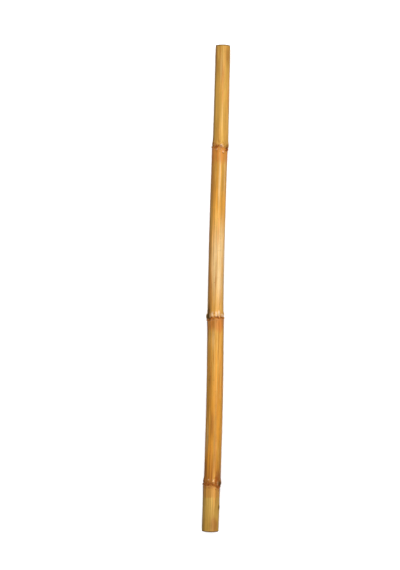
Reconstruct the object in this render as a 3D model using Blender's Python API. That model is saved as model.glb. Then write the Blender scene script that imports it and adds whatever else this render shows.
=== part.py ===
"""Bamboo cane: one cut length of culm with three nodes, lying on a flat surface.

The cane lies along Y, with its thick butt at -Y and its thin tip at +Y. +Z is up, and the surface is
at z = 0. The origin is under the middle of the cane. Lengths are in metres.
"""

import math

import bmesh
import bpy
import numpy as np

MM = 0.001

# The whole cane
CANE_LENGTH = 762 * MM
NODE_STATIONS = np.array([74, 335, 602]) * MM
BUTT_WALL = 4.5 * MM
TIP_WALL = 4.4 * MM

# Diameter at the lower and upper end of each internode, from the butt to the tip
INTERNODE_DIAMETERS = np.array([[26.1, 26.0], [26.0, 25.75], [24.8, 24.2], [24.1, 22.8]]) * MM

# How far the centre line stands to the right at the lower and upper end of each internode
INTERNODE_OFFSETS = np.array([[0.0, 0.3], [1.1, -0.3], [-0.8, -0.7], [0.2, 0.0]]) * MM

# How far the middle of each internode bows to the right, and up
SIDE_BOWS = np.array([0.0, 1.1, -0.75, 0.1]) * MM
UPWARD_BOWS = np.array([0.1, 0.5, 0.2, 0.1]) * MM

# How far each cut end's centre stands above the centre of the node nearest to it
BUTT_RISE = 0.1 * MM
TIP_RISE = 0.5 * MM

# The change from one internode to the next, measured from the sheath scar towards the tip
CHANGE_START = -3 * MM
CHANGE_END = 9 * MM

# The swelling round each node: a flare, the lip of the sheath scar, a groove and a rounded ridge
FLARE_HEIGHT = 0.3 * MM
FLARE_REACH = 12 * MM
LIP_HEIGHT = 0.75 * MM
LIP_WIDTH_BELOW = 1.3 * MM
LIP_WIDTH_ABOVE = 0.6 * MM
GROOVE_DEPTH = 0.25 * MM
GROOVE_STATION = 2.0 * MM
GROOVE_WIDTH = 1.0 * MM
RIDGE_HEIGHT = 0.8 * MM
RIDGE_STATION = 6.0 * MM
RIDGE_WIDTH = 3.2 * MM

# The trimmed branch on each node: how far round from the top towards the right, and how proud
BRANCH_ANGLES = np.radians([66, -72, 60])
BRANCH_HEIGHTS = np.array([1.3, 1.7, 0.9]) * MM
BRANCH_STATION = 5.0 * MM
BRANCH_HALF_LENGTH = 4.0 * MM
BRANCH_HALF_WIDTH = 3.2 * MM

# The sheath scar dips under the branch, and a shallow furrow runs up the internode above it
SCAR_DIP = 4.5 * MM
SCAR_DIP_SPREAD = math.radians(38)
SCAR_DIP_REACH = 14 * MM
FURROW_DEPTH = 0.5 * MM
FURROW_SPREAD = math.radians(15)
FURROW_START = 8 * MM
FURROW_REACH = 45 * MM

# A small raised scab on the butt internode
SCAB_STATION = 38 * MM
SCAB_ANGLE = math.radians(82)
SCAB_HEIGHT = 0.7 * MM
SCAB_HALF_LENGTH = 4.5 * MM
SCAB_HALF_WIDTH = 2.5 * MM

# The flat that each node rests on, cut this deep into its round
FLAT_DEPTH = 0.55 * MM

# Each cut end's hollow stops at a dished diaphragm: the butt's just below the first node's scar,
# and the tip's just above the last node's ridge
DIAPHRAGM_LOWER = 0.5 * MM
DIAPHRAGM_UPPER = 6.5 * MM
DIAPHRAGM_DISH = 1.5 * MM
DISH_RINGS = 3

# Mesh spacing: rings crowd round each sheath scar and spread out along the internodes
SEGMENTS = 40
RING_OFFSETS = np.array([
    -14, -9, -5.5, -3.2, -1.8, -1.0, -0.5, 0.0, 0.4, 0.9, 1.7,
    2.7, 3.8, 5.0, 6.2, 7.4, 8.8, 10.5, 13, 17, 23, 31]) * MM
INTERNODE_RING_SPACING = 29 * MM
BORE_RING_SPACING = 38 * MM
SHARP_EDGE = math.radians(50)

# The dry outer skin, warm orange tan and glossy
SKIN_COLOUR = (0.62, 0.33, 0.09, 1)
SKIN_ROUGHNESS = 0.35


def smooth_step(value, start, end):
    """0 before start, 1 after end, and 3t^2 - 2t^3 between them."""
    t = np.clip((value - start) / (end - start), 0, 1)
    return t * t * (3 - 2 * t)


def bell(value, width):
    """A bell curve of height 1, e^-1 at one width from the middle."""
    return np.exp(-(value / width) ** 2)


def turned_from(angle, middle):
    """The angle measured from middle, between minus pi and pi."""
    return (angle - middle + math.pi) % (2 * math.pi) - math.pi


def internode_bounds():
    """The lower and upper end of each internode, as stations from the butt."""
    marks = np.concatenate([[0], NODE_STATIONS, [CANE_LENGTH]])
    return list(zip(marks[:-1], marks[1:]))


def across_internodes(station, ends, bows):
    """A value that runs straight between its two ends on each internode, plus half a sine wave of
    that internode's bow, and changes smoothly from one internode to the next at the node."""
    total = np.zeros_like(station)
    for i, (low, high) in enumerate(internode_bounds()):
        share = np.clip((station - low) / (high - low), 0, 1)
        own = ends[i][0] + (ends[i][1] - ends[i][0]) * share + bows[i] * np.sin(math.pi * share)
        begins = 1 if i == 0 else smooth_step(station, low + CHANGE_START, low + CHANGE_END)
        is_last = i == len(NODE_STATIONS)
        ceases = 0 if is_last else smooth_step(station, high + CHANGE_START, high + CHANGE_END)
        total = total + own * (begins - ceases)
    return total


def node_relief(station, angle):
    """Height of the nodes' own forms above the plain internode."""
    total = np.zeros_like(station + angle)
    for i, node in enumerate(NODE_STATIONS):
        above = station - node
        lip_width = np.where(above < 0, LIP_WIDTH_BELOW, LIP_WIDTH_ABOVE)
        total = total + FLARE_HEIGHT * np.exp(-np.abs(above) / FLARE_REACH)
        total = total + LIP_HEIGHT * bell(above, lip_width)
        total = total - GROOVE_DEPTH * bell(above - GROOVE_STATION, GROOVE_WIDTH)
        total = total + RIDGE_HEIGHT * bell(above - RIDGE_STATION, RIDGE_WIDTH)
        total = total + branch_relief(above, angle, i)
    return total


def branch_relief(above, angle, i):
    """The trimmed branch of node i, a low round table, and the furrow above it."""
    round_from = turned_from(angle, BRANCH_ANGLES[i])
    radius = INTERNODE_DIAMETERS[i][1] / 2
    along = (above - BRANCH_STATION) / BRANCH_HALF_LENGTH
    across = round_from * radius / BRANCH_HALF_WIDTH
    table = BRANCH_HEIGHTS[i] * np.exp(-(along ** 2 + across ** 2) ** 2)
    fading = smooth_step(above, 0, FURROW_START) * np.exp(-np.maximum(above, 0) / FURROW_REACH)
    return table - FURROW_DEPTH * fading * bell(round_from, FURROW_SPREAD)


def scab_relief(station, angle):
    """A small raised scab, an oval bell."""
    radius = INTERNODE_DIAMETERS[0][0] / 2
    across = turned_from(angle, SCAB_ANGLE) * radius / SCAB_HALF_WIDTH
    return SCAB_HEIGHT * bell(np.hypot((station - SCAB_STATION) / SCAB_HALF_LENGTH, across), 1)


def skin_radius(station, angle):
    """Radius of the outside: the internodes' taper with the nodes' forms on it."""
    no_bows = np.zeros(len(INTERNODE_DIAMETERS))
    plain = across_internodes(station, INTERNODE_DIAMETERS / 2, no_bows)
    return plain + node_relief(station, angle) + scab_relief(station, angle)


def scar_shift(station, angle):
    """How far a ring near a node moves towards the butt, where the scar dips under the branch."""
    total = np.zeros_like(station + angle)
    for node, branch in zip(NODE_STATIONS, BRANCH_ANGLES):
        near = bell(station - node, SCAR_DIP_REACH)
        total = total - SCAR_DIP * near * bell(turned_from(angle, branch), SCAR_DIP_SPREAD)
    return total


def centre_heights():
    """Height of the centre line at both ends of each internode, so that the surface below cuts the
    same depth off the lip or ridge of every node, whichever is the lower."""
    downwards = np.full(len(NODE_STATIONS), math.pi)
    under_lips = skin_radius(NODE_STATIONS, downwards)
    under_ridges = skin_radius(NODE_STATIONS + RIDGE_STATION, downwards)
    heights = np.maximum(under_lips, under_ridges) - FLAT_DEPTH
    marks = np.concatenate([[heights[0] + BUTT_RISE], heights, [heights[-1] + TIP_RISE]])
    return np.stack([marks[:-1], marks[1:]], axis=1)


def centre_line(station):
    """X and Z of the cane's centre at a station."""
    side = across_internodes(station, INTERNODE_OFFSETS, SIDE_BOWS)
    height = across_internodes(station, centre_heights(), UPWARD_BOWS)
    return side, height


def outside_stations():
    """Stations of the outer rings, from the butt's face to the tip's."""
    crowded = np.concatenate([node + RING_OFFSETS for node in NODE_STATIONS])
    stops = [0.0, *crowded, CANE_LENGTH]
    stations = [stops[0]]
    for low, high in zip(stops[:-1], stops[1:]):
        count = math.ceil((high - low) / INTERNODE_RING_SPACING)
        stations.extend(np.linspace(low, high, count + 1)[1:])
    return np.array(stations)


def ring(station, radius, shift, angles):
    """One closed ring of points round the centre line."""
    stations = np.full_like(angles, station)
    side, height = centre_line(stations)
    x = side + radius * np.sin(angles)
    y = stations + shift - CANE_LENGTH / 2
    z = np.maximum(height + radius * np.cos(angles), 0)
    return np.stack([x, y, z], axis=1)


def outer_ring(station, angles):
    """A ring of the outside. The rings at the two cut faces stay flat."""
    stations = np.full_like(angles, station)
    inside = smooth_step(min(station, CANE_LENGTH - station), 0, SCAR_DIP_REACH)
    shift = scar_shift(stations, angles) * inside
    return ring(station, skin_radius(stations, angles), shift, angles)


def bore_rings(mouth, floor, wall, angles):
    """Rings of the hollow from its mouth at the cut face to its dished floor."""
    mouth_radius = skin_radius(np.full_like(angles, mouth), angles).mean() - wall
    count = math.ceil(abs(floor - mouth) / BORE_RING_SPACING)
    rings = [ring(s, mouth_radius, 0, angles) for s in np.linspace(mouth, floor, count + 1)]
    deeper = math.copysign(DIAPHRAGM_DISH, floor - mouth)
    for step in range(1, DISH_RINGS):
        share = step / DISH_RINGS
        depth = deeper * math.sin(share * math.pi / 2)
        rings.append(ring(floor, mouth_radius * (1 - share), depth, angles))
    pole = ring(floor, 0, deeper, angles)[0]
    return rings, pole


def cane_rings():
    """All rings in one sweep: out of the butt's hollow, along the outside and into the tip's."""
    angles = np.arange(SEGMENTS) * 2 * math.pi / SEGMENTS
    butt_floor = NODE_STATIONS[0] - DIAPHRAGM_LOWER
    tip_floor = NODE_STATIONS[-1] + DIAPHRAGM_UPPER
    butt_bore, butt_pole = bore_rings(0.0, butt_floor, BUTT_WALL, angles)
    tip_bore, tip_pole = bore_rings(CANE_LENGTH, tip_floor, TIP_WALL, angles)
    outside = [outer_ring(s, angles) for s in outside_stations()]
    return butt_pole, butt_bore[::-1] + outside + tip_bore, tip_pole


def middle_of_width(rings):
    """The middle of the cane's left and right extremes."""
    across = np.concatenate(rings)[:, 0]
    return (across.min() + across.max()) / 2


def skin_mesh(butt_pole, rings, tip_pole):
    """One closed shell: quads between neighbouring rings and a fan at each pole."""
    sideways = np.array([middle_of_width(rings), 0, 0])
    shell = bmesh.new()
    loops = [[shell.verts.new(point) for point in points - sideways] for points in rings]
    for lower, upper in zip(loops[:-1], loops[1:]):
        for i in range(SEGMENTS):
            j = (i + 1) % SEGMENTS
            shell.faces.new((lower[i], lower[j], upper[j], upper[i]))
    for pole, loop in ((butt_pole, loops[0]), (tip_pole, loops[-1])):
        centre = shell.verts.new(pole - sideways)
        for i in range(SEGMENTS):
            shell.faces.new((centre, loop[i], loop[(i + 1) % SEGMENTS]))
    bmesh.ops.recalc_face_normals(shell, faces=shell.faces)
    mesh = bpy.data.meshes.new("bamboo_cane")
    shell.to_mesh(mesh)
    shell.free()
    return mesh


def cane_skin():
    """The cane's dry, hard outer skin."""
    material = bpy.data.materials.new("dry_bamboo_skin")
    material.use_nodes = True
    shader = material.node_tree.nodes["Principled BSDF"]
    shader.inputs["Base Color"].default_value = SKIN_COLOUR
    shader.inputs["Roughness"].default_value = SKIN_ROUGHNESS
    shader.inputs["Metallic"].default_value = 0.0
    return material


def clear_scene():
    """Remove whatever objects the scene starts with."""
    for item in list(bpy.data.objects):
        bpy.data.objects.remove(item)


def build_cane():
    """Make the one object: the cane with its skin."""
    clear_scene()
    mesh = skin_mesh(*cane_rings())
    mesh.materials.append(cane_skin())
    mesh.shade_smooth()
    mesh.set_sharp_from_angle(angle=SHARP_EDGE)
    cane = bpy.data.objects.new("bamboo_cane", mesh)
    bpy.context.collection.objects.link(cane)


build_cane()
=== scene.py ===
# %% [markdown]
# A dried bamboo cane
#
# The object is one length of a bamboo stem, or culm, sawn square at both ends and lying on a pale
# table. It has three nodes, the rings where leaves and branches grew, and four internodes, the smooth
# tubes between them. This lesson makes the whole culm as one surface worked out with numpy, and then
# gives it three finishes: the hard glossy skin, the sawn ends and the soft lining of the hollow.

# %% Load the frame
import math

import bmesh
import bpy
import numpy as np
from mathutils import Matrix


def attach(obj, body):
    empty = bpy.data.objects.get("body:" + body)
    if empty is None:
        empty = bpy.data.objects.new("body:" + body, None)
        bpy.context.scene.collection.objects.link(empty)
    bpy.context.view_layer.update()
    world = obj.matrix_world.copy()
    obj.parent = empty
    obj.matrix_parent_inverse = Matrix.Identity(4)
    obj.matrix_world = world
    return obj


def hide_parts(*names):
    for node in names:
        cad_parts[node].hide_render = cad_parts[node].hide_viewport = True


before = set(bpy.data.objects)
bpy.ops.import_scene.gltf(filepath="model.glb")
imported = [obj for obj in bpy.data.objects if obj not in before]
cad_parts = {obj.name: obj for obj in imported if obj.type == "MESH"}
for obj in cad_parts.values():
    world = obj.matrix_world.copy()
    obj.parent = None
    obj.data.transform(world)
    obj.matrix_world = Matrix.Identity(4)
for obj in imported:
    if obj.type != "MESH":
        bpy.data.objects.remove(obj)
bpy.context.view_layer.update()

# %% [markdown]
# Units, colours and objects
#
# Blender works in metres, but a cane is easier to think of in millimetres, so every size below is
# written as a number of MM. Colours are picked as sRGB hex values, the kind that a paint program
# shows. The renderer adds up light, so it needs linear values, and one function does that change.
# Another adds an object to the scene.

# %% Units, colours and objects
MM = 0.001


def linear(hex_colour):
    """An sRGB hex value as linear red, green, blue and alpha: a straight line near black and a power
    of 2.4 above it."""
    parts = np.array([int(hex_colour[i:i + 2], 16) / 255 for i in (1, 3, 5)])
    bright = ((parts + 0.055) / 1.055) ** 2.4
    return (*np.where(parts <= 0.04045, parts / 12.92, bright), 1.0)


def add_object(name, data):
    """A new object, linked to the scene."""
    made = bpy.data.objects.new(name, data)
    bpy.context.collection.objects.link(made)
    return made


# %% [markdown]
# The camera
#
# The cane stood upright in front of the lens. Here it lies down, so the camera hangs above it and
# looks straight down, which shows the same side. A long lens keeps the two ends at the same scale.
# The lean, the scale and the camera's place all follow from where the two ends fall in the frame.

# %% Hang the camera
FRAME_PX = np.array([400, 570])
TIP_PX = np.array([223.05, 45.5])
BUTT_PX = np.array([210.1, 531.0])
CANE_LENGTH = 762 * MM
AXIS_HEIGHT = 13.6 * MM
LENS_MM = 100
SENSOR_MM = 36

cane_px = TIP_PX - BUTT_PX
metres_per_px = CANE_LENGTH / np.hypot(*cane_px)
lean = math.atan2(cane_px[0], -cane_px[1])
middle_px = (TIP_PX + BUTT_PX) / 2
right_px, up_px = (middle_px - FRAME_PX / 2) * [1, -1]
distance = LENS_MM / SENSOR_MM * FRAME_PX[1] * metres_per_px
camera_x = -(right_px * math.cos(lean) - up_px * math.sin(lean)) * metres_per_px
camera_y = -(right_px * math.sin(lean) + up_px * math.cos(lean)) * metres_per_px

lens = bpy.data.cameras.new("camera")
lens.lens = LENS_MM
lens.sensor_width = SENSOR_MM
camera = add_object("camera", lens)
camera.location = (camera_x, camera_y, AXIS_HEIGHT + distance)
camera.rotation_euler = (0, 0, lean)
bpy.context.scene.camera = camera
print(f"one pixel is {metres_per_px / MM:.3f} mm, the camera is {distance:.2f} m up")

# %% [markdown]
# Helpers for nodes
#
# A material is a tree of nodes. Each one needs its settings, and a number, a colour or a link for its
# inputs. One small function, add_node, does all of that and hands back the output that the next node
# needs, so a tree reads as a list of steps. The other helpers call it for the kinds used most.

# %% Add a node
def fill_inputs(tree, node, inputs):
    """Links or sets each of a node's inputs, named or numbered."""
    for name, value in inputs.items():
        if isinstance(value, bpy.types.NodeSocket):
            tree.links.new(value, node.inputs[name])
        else:
            node.inputs[name].default_value = value


def add_node(tree, kind, inputs=None, output=0, **settings):
    """Adds a shader node with its settings and inputs, and returns one of its outputs."""
    node = tree.nodes.new("ShaderNode" + kind)
    for name, value in settings.items():
        setattr(node, name, value)
    fill_inputs(tree, node, inputs or {})
    return node.outputs[output]


def map_range(tree, value, start=0.0, end=1.0, low=0.0, high=1.0, step="LINEAR"):
    """Turns start to end into low to high, and holds whatever is outside."""
    inputs = {"Value": value, "From Min": start, "From Max": end, "To Min": low, "To Max": high}
    return add_node(tree, "MapRange", inputs, interpolation_type=step)


def stored(tree, name, output="Fac"):
    """Reads what the points store under a name."""
    return add_node(tree, "Attribute", output=output, attribute_name=name)


def new_material(name):
    """An empty material, its tree and a Principled shader linked to its output."""
    material = bpy.data.materials.new(name)
    material.use_nodes = True
    tree = material.node_tree
    tree.nodes.clear()
    shader = tree.nodes.new("ShaderNodeBsdfPrincipled")
    surface = tree.nodes.new("ShaderNodeOutputMaterial")
    tree.links.new(shader.outputs["BSDF"], surface.inputs["Surface"])
    return material, tree, shader


print("helpers ready")

# %% [markdown]
# The table and the light
#
# A glossy round rod shows its lamps as long bright streaks, so the lamps decide how it looks. Each
# is a long soft box beside the cane. The main one hangs to the right of the camera, so its streak runs
# right of the middle and the left edge falls into shade. A weak low one lights each side. The fourth,
# wide and straight above, lights the table alone and keeps it white. Light linking does that: a lamp
# can have a collection that says which objects it lights. The table throws no light back, as if it
# were far away, and fades out into a glowing white backdrop, which only the camera sees.

# %% Lay the table and hang the lamps
TABLE_SIZE = 4.0
TABLE_DROP = 0.2 * MM
TABLE_COLOUR = "#fafafa"
TABLE_FADE = (0.8, 1.8)
BACKDROP_RADIUS = 30.0
WHITE = "#ffffff"
WORLD_STRENGTH = 0.19
STAGE_ROUGHNESS = 0.9
LAMP_LENGTH = 4.5
LAMP_SHIFT = 0.9
LAMPS = (
    ("main_box", 17, 3.0, 1.7, 104, False),
    ("right_box", 74, 2.5, 1.0, 6, False),
    ("left_box", -76, 2.5, 1.0, 7, False),
    ("table_box", 0, 2.6, 3.6, 210, True),
)


def stage_material(name, colour, glow, fade=None):
    """One plain colour for the table or the backdrop, and how strongly it glows. With a fade, it turns
    clear from one distance to another from the middle, on Object coordinates."""
    material, tree, shader = new_material(name)
    inputs = {"Base Color": linear(colour), "Emission Color": linear(colour)}
    inputs |= {"Emission Strength": glow, "Roughness": STAGE_ROUGHNESS}
    if fade:
        place = add_node(tree, "TexCoord", output="Object")
        away = add_node(tree, "VectorMath", {0: place}, "Value", operation="LENGTH")
        inputs["Alpha"] = map_range(tree, away, *reversed(fade), step="SMOOTHSTEP")
    fill_inputs(tree, shader, inputs)
    return material


def soft_box(name, degrees_right, distance_away, width, watts, on_table):
    """A long white lamp turned round the cane by degrees_right from straight above, and moved to the
    tip. It lights the table alone, or all but the table."""
    lamp = bpy.data.lights.new(name, "AREA")
    lamp.shape = "RECTANGLE"
    lamp.size = width
    lamp.size_y = LAMP_LENGTH
    lamp.energy = watts
    turn = math.radians(degrees_right)
    box = add_object(name, lamp)
    box.location = (distance_away * math.sin(turn), LAMP_SHIFT, distance_away * math.cos(turn))
    box.rotation_euler = (0, turn, 0)
    box.visible_camera = False
    lit = bpy.data.collections.new(f"lit_by_{name}")
    lit.objects.link(table)
    lit.collection_objects[0].light_linking.link_state = "INCLUDE" if on_table else "EXCLUDE"
    box.light_linking.receiver_collection = lit


corners = np.array([[-1, -1, 0], [1, -1, 0], [1, 1, 0], [-1, 1, 0]]) * TABLE_SIZE / 2
corners[:, 2] = -TABLE_DROP
table_mesh = bpy.data.meshes.new("table")
table_mesh.from_pydata(corners.tolist(), [], [(0, 1, 2, 3)])
table_mesh.materials.append(stage_material("matt_white_table", TABLE_COLOUR, 0.0, TABLE_FADE))
table = add_object("table", table_mesh)

backdrop_mesh = bpy.data.meshes.new("backdrop")
ball = bmesh.new()
bmesh.ops.create_icosphere(ball, subdivisions=4, radius=BACKDROP_RADIUS)
ball.to_mesh(backdrop_mesh)
ball.free()
backdrop_mesh.materials.append(stage_material("white_backdrop", WHITE, 1.0))
backdrop = add_object("backdrop", backdrop_mesh)
backdrop.visible_shadow = False

for piece in (table, backdrop):
    piece.visible_diffuse = False
    piece.visible_glossy = False

for lamp in LAMPS:
    soft_box(*lamp)

world = bpy.data.worlds.new("pale_room")
world.use_nodes = True
room_light = {"Color": linear(WHITE), "Strength": WORLD_STRENGTH}
fill_inputs(world.node_tree, world.node_tree.nodes["Background"], room_light)
bpy.context.scene.world = world
bpy.context.scene.view_settings.view_transform = "Standard"
print("table, backdrop and", len(LAMPS), "soft boxes")

# %% [markdown]
# The culm as a function
#
# A culm could be a cylinder with rings joined on, but a real one grew in one piece, with no seam at
# its nodes. So the outside is one function: the radius at a station along the cane and an angle round
# it, counted from the top towards the right. Each internode has its own thickness, bow and place, and
# changes to the next over 12 mm at the node. The solid model was built from these same sizes.

# %% Sizes of the culm
NODE_STATIONS = np.array([74, 335, 602]) * MM
DIAMETERS = np.array([[26.1, 26.0], [26.0, 25.75], [24.8, 24.2], [24.1, 22.8]]) * MM
SIDE_OFFSETS = np.array([[0.0, 0.3], [1.1, -0.3], [-0.8, -0.7], [0.2, 0.0]]) * MM
SIDE_BOWS = np.array([0.0, 1.1, -0.75, 0.1]) * MM
UPWARD_BOWS = np.array([0.1, 0.5, 0.2, 0.1]) * MM
BUTT_RISE = 0.1 * MM
TIP_RISE = 0.5 * MM
CHANGE_START = -3 * MM
CHANGE_END = 9 * MM
BUTT_WALL = 4.5 * MM
TIP_WALL = 4.4 * MM
FLAT_DEPTH = 0.55 * MM


def smooth_step(value, start, end):
    """0 before start, 1 after end, and 3t^2 - 2t^3 between them."""
    t = np.clip((value - start) / (end - start), 0, 1)
    return t * t * (3 - 2 * t)


def bell(value, width):
    """A bell curve of height 1 that falls to 1/e at one width from the middle."""
    return np.exp(-(value / width) ** 2)


def turned_from(angle, middle):
    """The angle measured from middle, between minus pi and pi."""
    return (angle - middle + math.pi) % (2 * math.pi) - math.pi


def internode_shares(station):
    """For each internode: how far along it a station is, from 0 to 1, and its weight there. The
    weights add up to 1, and one gives way to the next at the node."""
    marks = np.concatenate([[0], NODE_STATIONS, [CANE_LENGTH]])
    gates = [smooth_step(station, node + CHANGE_START, node + CHANGE_END) for node in NODE_STATIONS]
    gates = [np.ones_like(station), *gates, np.zeros_like(station)]
    for i, (low, high) in enumerate(zip(marks[:-1], marks[1:])):
        yield np.clip((station - low) / (high - low), 0, 1), gates[i] - gates[i + 1]


def across_internodes(station, ends, bows=(0, 0, 0, 0)):
    """A value that runs straight between its two ends on each internode, plus half a sine wave of
    that internode's bow."""
    total = np.zeros_like(station)
    for (share, weight), (low, high), bow in zip(internode_shares(station), ends, bows):
        total = total + weight * (low + (high - low) * share + bow * np.sin(math.pi * share))
    return total


print(f"{len(NODE_STATIONS)} nodes and {len(DIAMETERS)} internodes")

# %% [markdown]
# A node
#
# Going up the cane, a node starts with a slight flare. Then comes the sheath scar, a thin corky lip
# where the leaf that once wrapped the shoot broke off. Just above it are a narrow groove and a rounded
# ridge, where the wall is thickened by a diaphragm inside. A branch grew on one side, and was trimmed
# to a low stub. The scar dips under the stub, and a furrow, which held the branch while it was a bud,
# runs up the internode above. Every one of these is a bell curve or a power of one, added up.

# %% The form of a node
FLARE_HEIGHT = 0.3 * MM
FLARE_REACH = 12 * MM
LIP_HEIGHT = 0.75 * MM
LIP_WIDTH_BELOW = 1.3 * MM
LIP_WIDTH_ABOVE = 0.6 * MM
GROOVE_DEPTH = 0.25 * MM
GROOVE_STATION = 2.0 * MM
GROOVE_WIDTH = 1.0 * MM
RIDGE_HEIGHT = 0.8 * MM
RIDGE_STATION = 6.0 * MM
RIDGE_WIDTH = 3.2 * MM
BRANCH_ANGLES = np.radians([66, -72, 60])
BRANCH_HEIGHTS = np.array([1.3, 1.7, 0.9]) * MM
BRANCH_STATION = 5.0 * MM
BRANCH_HALF_LENGTH = 4.0 * MM
BRANCH_HALF_WIDTH = 3.2 * MM
SCAR_DIP = 4.5 * MM
SCAR_DIP_SPREAD = math.radians(38)
SCAR_DIP_REACH = 14 * MM
FURROW_DEPTH = 0.5 * MM
FURROW_SPREAD = math.radians(15)
FURROW_START = 8 * MM
FURROW_REACH = 45 * MM
SCAB_STATION = 38 * MM
SCAB_ANGLE = math.radians(82)
SCAB_HEIGHT = 0.7 * MM
SCAB_HALF_LENGTH = 4.5 * MM
SCAB_HALF_WIDTH = 2.5 * MM


def ring_relief(above):
    """The forms that go all the way round a node: flare, lip, groove and ridge. above is the
    distance from the sheath scar towards the tip."""
    lip_width = np.where(above < 0, LIP_WIDTH_BELOW, LIP_WIDTH_ABOVE)
    flare = FLARE_HEIGHT * np.exp(-np.abs(above) / FLARE_REACH)
    lip = LIP_HEIGHT * bell(above, lip_width)
    groove = GROOVE_DEPTH * bell(above - GROOVE_STATION, GROOVE_WIDTH)
    ridge = RIDGE_HEIGHT * bell(above - RIDGE_STATION, RIDGE_WIDTH)
    return flare + lip - groove + ridge


def from_branch(above, angle, i):
    """How far a point is from the middle of node i's branch stub, as a share of the stub's size."""
    radius = DIAMETERS[i][1] / 2
    along = (above - BRANCH_STATION) / BRANCH_HALF_LENGTH
    across = turned_from(angle, BRANCH_ANGLES[i]) * radius / BRANCH_HALF_WIDTH
    return np.hypot(along, across)


def furrow_share(above, angle, i):
    """How much of the furrow above node i's branch there is: it starts above the stub and fades."""
    fading = smooth_step(above, 0, FURROW_START) * np.exp(-np.maximum(above, 0) / FURROW_REACH)
    return fading * bell(turned_from(angle, BRANCH_ANGLES[i]), FURROW_SPREAD)


def from_scab(station, angle):
    """How far a point is from the middle of the scab on the butt, as a share of its size."""
    across = turned_from(angle, SCAB_ANGLE) * DIAMETERS[0][0] / 2
    return np.hypot((station - SCAB_STATION) / SCAB_HALF_LENGTH, across / SCAB_HALF_WIDTH)


def main_radius(station, angle):
    """The radius that the solid model has: taper, rings, stubs, furrows and the scab."""
    total = across_internodes(station, DIAMETERS / 2)
    for i, node in enumerate(NODE_STATIONS):
        above = station - node
        stub = BRANCH_HEIGHTS[i] * np.exp(-from_branch(above, angle, i) ** 4)
        total = total + ring_relief(above) + stub - FURROW_DEPTH * furrow_share(above, angle, i)
    return total + SCAB_HEIGHT * bell(from_scab(station, angle), 1)


def centre_line(station):
    """X and Z of the culm's centre. Every node is let down by the same depth into its flat."""
    under = np.full(len(NODE_STATIONS), math.pi)
    lips = main_radius(NODE_STATIONS, under)
    ridges = main_radius(NODE_STATIONS + RIDGE_STATION, under)
    heights = np.maximum(lips, ridges) - FLAT_DEPTH
    marks = np.concatenate([[heights[0] + BUTT_RISE], heights, [heights[-1] + TIP_RISE]])
    side = across_internodes(station, SIDE_OFFSETS, SIDE_BOWS)
    return side, across_internodes(station, np.stack([marks[:-1], marks[1:]], axis=1), UPWARD_BOWS)


ridge = main_radius(NODE_STATIONS[1:2] + RIDGE_STATION, np.zeros(1))
print(f"middle ridge: radius {ridge[0] / MM:.2f} mm")

# %% [markdown]
# Fine relief
#
# Seen close, the skin isn't turned on a lathe. Shallow flutes run along each internode and break the
# lamps' streaks into finer ones. The lip is torn, the ridge is lumpy, the flare under the scar is
# wrinkled, and a row of small knobs, dormant root tips, sits along the scar. Sculpting could do this,
# but a sum of waves with seeded phases does it too, closes on itself round the cane and comes out the
# same each time. Each sum is given by its seed, the fewest and most crests round the culm, and the
# shortest and longest wave along it in metres.

# %% Fine relief of the skin
FLUTE_HEIGHT = 0.12 * MM
FLUTES = (10, (4, 20), (0.35, 1.4))
LIP_TEAR = 0.32 * MM
LIP_TEARS = (20, (5, 34), (0.03, 0.2))
LIP_WANDER = 0.45 * MM
LIP_PATHS = (60, (2, 9), (1, 2))
RIDGE_LUMP = 0.16 * MM
RIDGE_LUMPS = (30, (3, 13), (0.02, 0.1))
RIDGE_LUMP_WIDTH = 4.48 * MM
FLARE_WRINKLE = 0.05 * MM
FLARE_WRINKLES = (50, (22, 50), (0.02, 0.08))
FLARE_WRINKLE_REACH = 7 * MM
KNOB_COUNT = 16
KNOB_SEED = 40
KNOB_SLIDE = 0.13
KNOB_SIZES = (0.7, 1.25)
KNOB_LIFTS = (-0.4 * MM, 0.5 * MM)
KNOBS_LEFT = 0.85
KNOB_PHASES = np.radians([4, 14.2, -14])
KNOB_HEIGHT = 0.22 * MM
KNOB_REACH = 0.85 * MM
KNOB_STATION = 1.0 * MM
STUB_RIM = 0.22 * MM
STUB_RIM_PLACE = 0.75
STUB_RIM_WIDTH = 0.16
STUB_PIT = 0.5 * MM
STUB_PIT_WIDTH = 0.3
WAVES_IN_A_SUM = 14


def waves(angle, station, kind, i=0):
    """A sum of cosines that run round and along the cane, between about -1 and 1. i is added to the
    seed, so each place has its own."""
    seed, turns, lengths = kind
    draw = np.random.default_rng(seed + i)
    total = np.zeros(np.broadcast(angle, station).shape)
    for _ in range(WAVES_IN_A_SUM):
        crests = draw.integers(turns[0], turns[1] + 1)
        along = 2 * math.pi / draw.uniform(*lengths) * draw.choice([-1, 1])
        phase = draw.uniform(0, 2 * math.pi)
        total = total + np.cos(crests * angle + along * station + phase)
    return total / math.sqrt(WAVES_IN_A_SUM)


def knobs(i):
    """Angle, size and station of each knob along node i's scar, a few of them missing."""
    draw = np.random.default_rng(KNOB_SEED + i)
    for k in range(KNOB_COUNT):
        turn = (k + draw.uniform(-KNOB_SLIDE, KNOB_SLIDE)) / KNOB_COUNT
        size = draw.uniform(*KNOB_SIZES)
        lift = KNOB_STATION + draw.uniform(*KNOB_LIFTS)
        if draw.random() < KNOBS_LEFT:
            yield KNOB_PHASES[i] + turn * 2 * math.pi, size, lift


def knob_share(above, angle, i, reach):
    """1 on the middle of each knob of node i, falling to 0 over reach times the knob's size."""
    total = np.zeros_like(angle)
    for middle, size, lift in knobs(i):
        across = turned_from(angle, middle) * DIAMETERS[i][1] / 2
        total = np.maximum(total, bell(np.hypot(above - lift, across), reach * size))
    return total


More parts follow.
